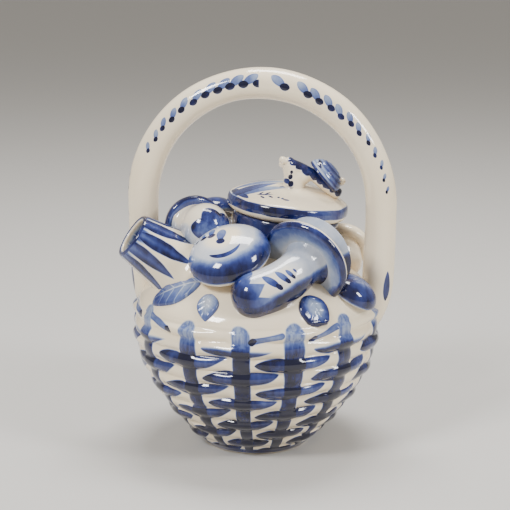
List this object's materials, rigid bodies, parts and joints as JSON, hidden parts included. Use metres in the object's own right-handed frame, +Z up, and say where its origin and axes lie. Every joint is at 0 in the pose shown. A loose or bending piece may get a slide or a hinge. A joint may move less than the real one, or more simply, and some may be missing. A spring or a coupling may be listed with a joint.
{
  "type": "teapot",
  "caption": "Porcelain teapot shaped as a woven basket heaped with mushrooms, with an overhead arch handle, a short spout and a lift-off lid with a snail knob.",
  "frame": {"origin": "middle of the foot ring, on the table plane", "axes": "+Z up; the front faces -Y; the spout points to -X"},
  "size_m": [0.1515, 0.1377, 0.21],
  "materials": {
    "basket_glaze": "white porcelain with cobalt stave and strand strokes under a clear glossy glaze",
    "collar_glaze": "solid dark cobalt band under a clear glossy glaze",
    "spout_glaze": "white porcelain with a cobalt rim and long petal strokes, glossy",
    "handle_glaze": "white porcelain with rows of cobalt dot and comma strokes, glossy",
    "mushroom_glaze": "white porcelain shaded with cobalt washes and comma strokes, glossy",
    "dark_cap_glaze": "deep cobalt wash paling to grey blue, glossy",
    "plain_glaze": "warm white porcelain under a clear glossy glaze",
    "leaf_glaze": "grey blue cobalt wash with pale veins, glossy",
    "lid_glaze": "white porcelain with a cobalt rim band and wash, glossy",
    "snail_glaze": "white porcelain with small dark cobalt dots, glossy",
    "shell_glaze": "striped cobalt wash, glossy"
  },
  "bodies": {
    "pot": {"basket_body": "basket_glaze", "neck_collar": "collar_glaze", "spout": "spout_glaze", "handle": "handle_glaze", "left_cap": "mushroom_glaze", "left_stem": "mushroom_glaze", "front_left_cap": "mushroom_glaze", "front_right_cap": "mushroom_glaze", "front_right_stem": "mushroom_glaze", "right_cap": "dark_cap_glaze", "back_right_cap": "plain_glaze", "back_right_stem": "plain_glaze", "back_left_cap": "dark_cap_glaze", "back_left_stem": "plain_glaze", "back_cap": "mushroom_glaze", "back_stem": "plain_glaze", "pointed_leaf": "leaf_glaze", "small_leaf": "leaf_glaze", "round_leaf": "leaf_glaze", "back_left_leaf": "leaf_glaze", "back_leaf": "leaf_glaze", "back_right_leaf": "leaf_glaze"},
    "lid": {"lid": "lid_glaze", "snail_body": "snail_glaze", "snail_horns": "snail_glaze", "snail_shell": "shell_glaze", "snail_knob": "snail_glaze"}
  },
  "joints": [
    {"name": "lid_lift", "type": "slide", "parent": "pot", "child": "lid", "axis": [0.1184, 0, 0.993], "range_m": [0, 0.02]}
  ]
}
